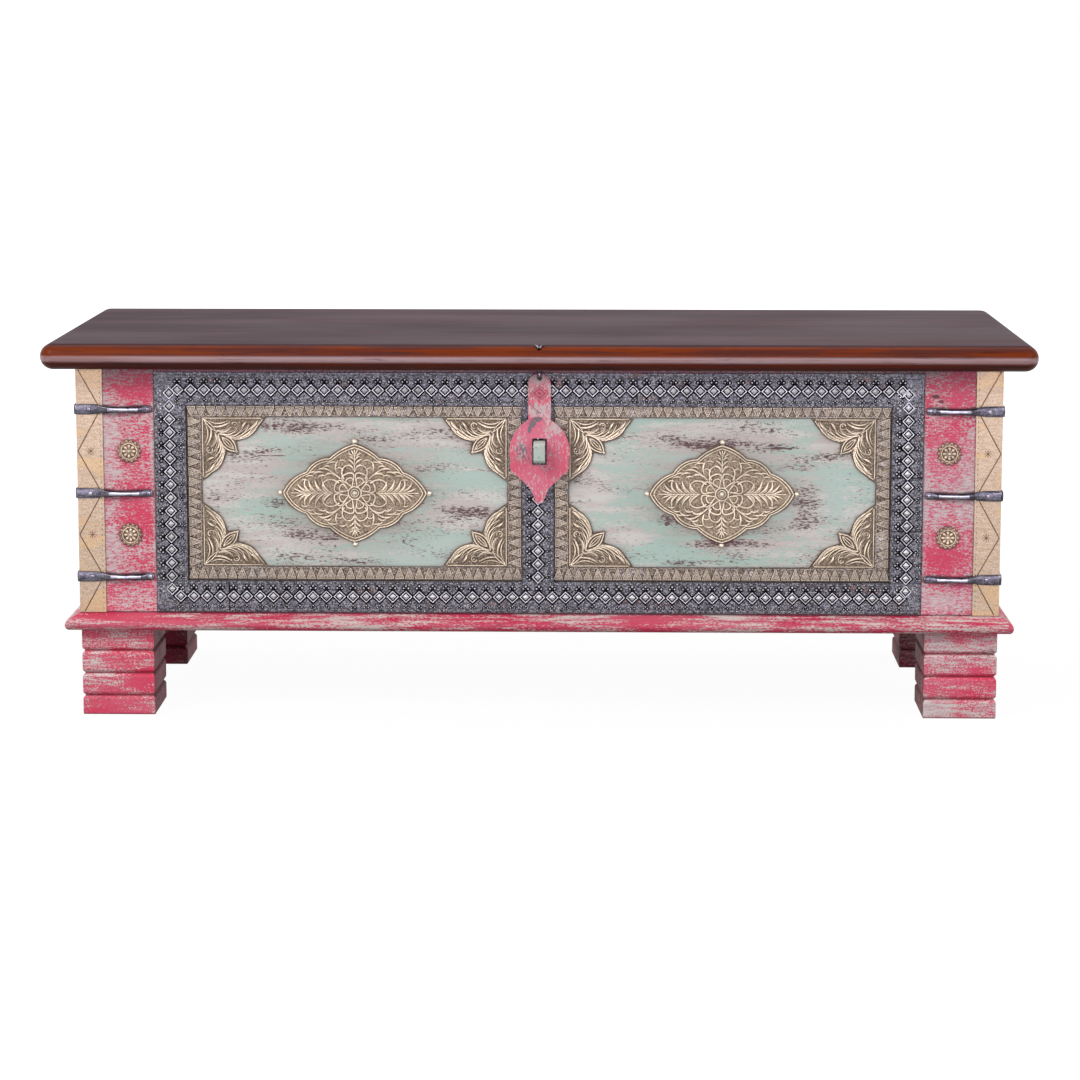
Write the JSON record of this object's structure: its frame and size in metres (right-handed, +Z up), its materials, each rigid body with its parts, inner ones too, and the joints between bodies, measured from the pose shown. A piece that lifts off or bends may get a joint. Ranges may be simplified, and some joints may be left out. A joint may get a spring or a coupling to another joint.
{
  "type": "storage chest",
  "caption": "Wooden storage chest on block feet with a hinged round-edged lid, framed painted front, embossed metal and brass trim, and a swinging hasp over a staple.",
  "frame": {"origin": "middle of the bottom of the object's box, on the floor", "axes": "+X along the chest to the right as seen from the front, front faces -Y, +Z up"},
  "size_m": [1.18, 0.43, 0.4577],
  "materials": {
    "lid_wood": "dark stained hardwood, waxed",
    "pink_paint": "distressed pink paint over pale undercoat",
    "mint_paint": "distressed mint paint over pale undercoat",
    "raw_wood": "bare sawn hardwood",
    "dark_sheet": "embossed white-metal sheet, blackened and rubbed",
    "brass": "embossed brass sheet, antiqued",
    "corner_brass": "pale brass sheet, incised",
    "iron": "forged iron, rubbed",
    "pink_iron": "worn pink paint on iron",
    "mint_iron": "worn mint paint on iron"
  },
  "bodies": {
    "carcase": {"foot_front_left": "pink_paint", "foot_front_right": "pink_paint", "foot_back_left": "pink_paint", "foot_back_right": "pink_paint", "base_moulding_front": "pink_paint", "base_moulding_back": "pink_paint", "base_moulding_left": "pink_paint", "base_moulding_right": "pink_paint", "base_cross_rail": "raw_wood", "bottom_board": "raw_wood", "back_board": "pink_paint", "end_board_left": "pink_paint", "end_board_right": "pink_paint", "corner_posts_front": "raw_wood", "corner_posts_back": "raw_wood", "front_board": "raw_wood", "pilaster_left": "pink_paint", "pilaster_right": "pink_paint", "frame_top_rail": "pink_paint", "frame_bottom_rail": "pink_paint", "frame_stile_left": "pink_paint", "frame_stile_right": "pink_paint", "frame_muntin": "pink_paint", "panel_left": "mint_paint", "panel_right": "mint_paint", "band_top": "dark_sheet", "band_bottom": "dark_sheet", "band_left": "dark_sheet", "band_right": "dark_sheet", "band_middle": "dark_sheet", "border_left": "brass", "border_right": "brass", "spandrels_left": "brass", "spandrels_right": "brass", "medallion_left": "brass", "medallion_right": "brass", "medallion_studs": "brass", "corner_strip_left": "corner_brass", "corner_strip_right": "corner_brass", "straps_left": "iron", "straps_right": "iron", "strap_nails": "iron", "rosettes_left": "brass", "rosettes_right": "brass", "staple": "mint_iron", "hinge_body_leaves": "iron", "hinge_body_screws": "iron", "hinge_pins": "iron"},
    "lid": {"lid_plank_front": "lid_wood", "lid_plank_middle": "lid_wood", "lid_plank_back": "lid_wood", "lid_cleat_left": "raw_wood", "lid_cleat_right": "raw_wood", "lid_cleat_screws": "iron", "hinge_lid_leaves": "iron", "hinge_lid_screws": "iron", "split_pin": "iron"},
    "hasp": {"hasp": "pink_iron"}
  },
  "joints": [
    {"name": "lid_hinge", "type": "hinge", "parent": "carcase", "child": "lid", "pos_m": [0, 0.1823, 0.4197], "axis": [-1, 0, 0], "range_deg": [0, 105]},
    {"name": "hasp_swing", "type": "hinge", "parent": "lid", "child": "hasp", "pos_m": [0.002, -0.1843, 0.4187], "axis": [-1, 0, 0], "range_deg": [0, 85]}
  ]
}
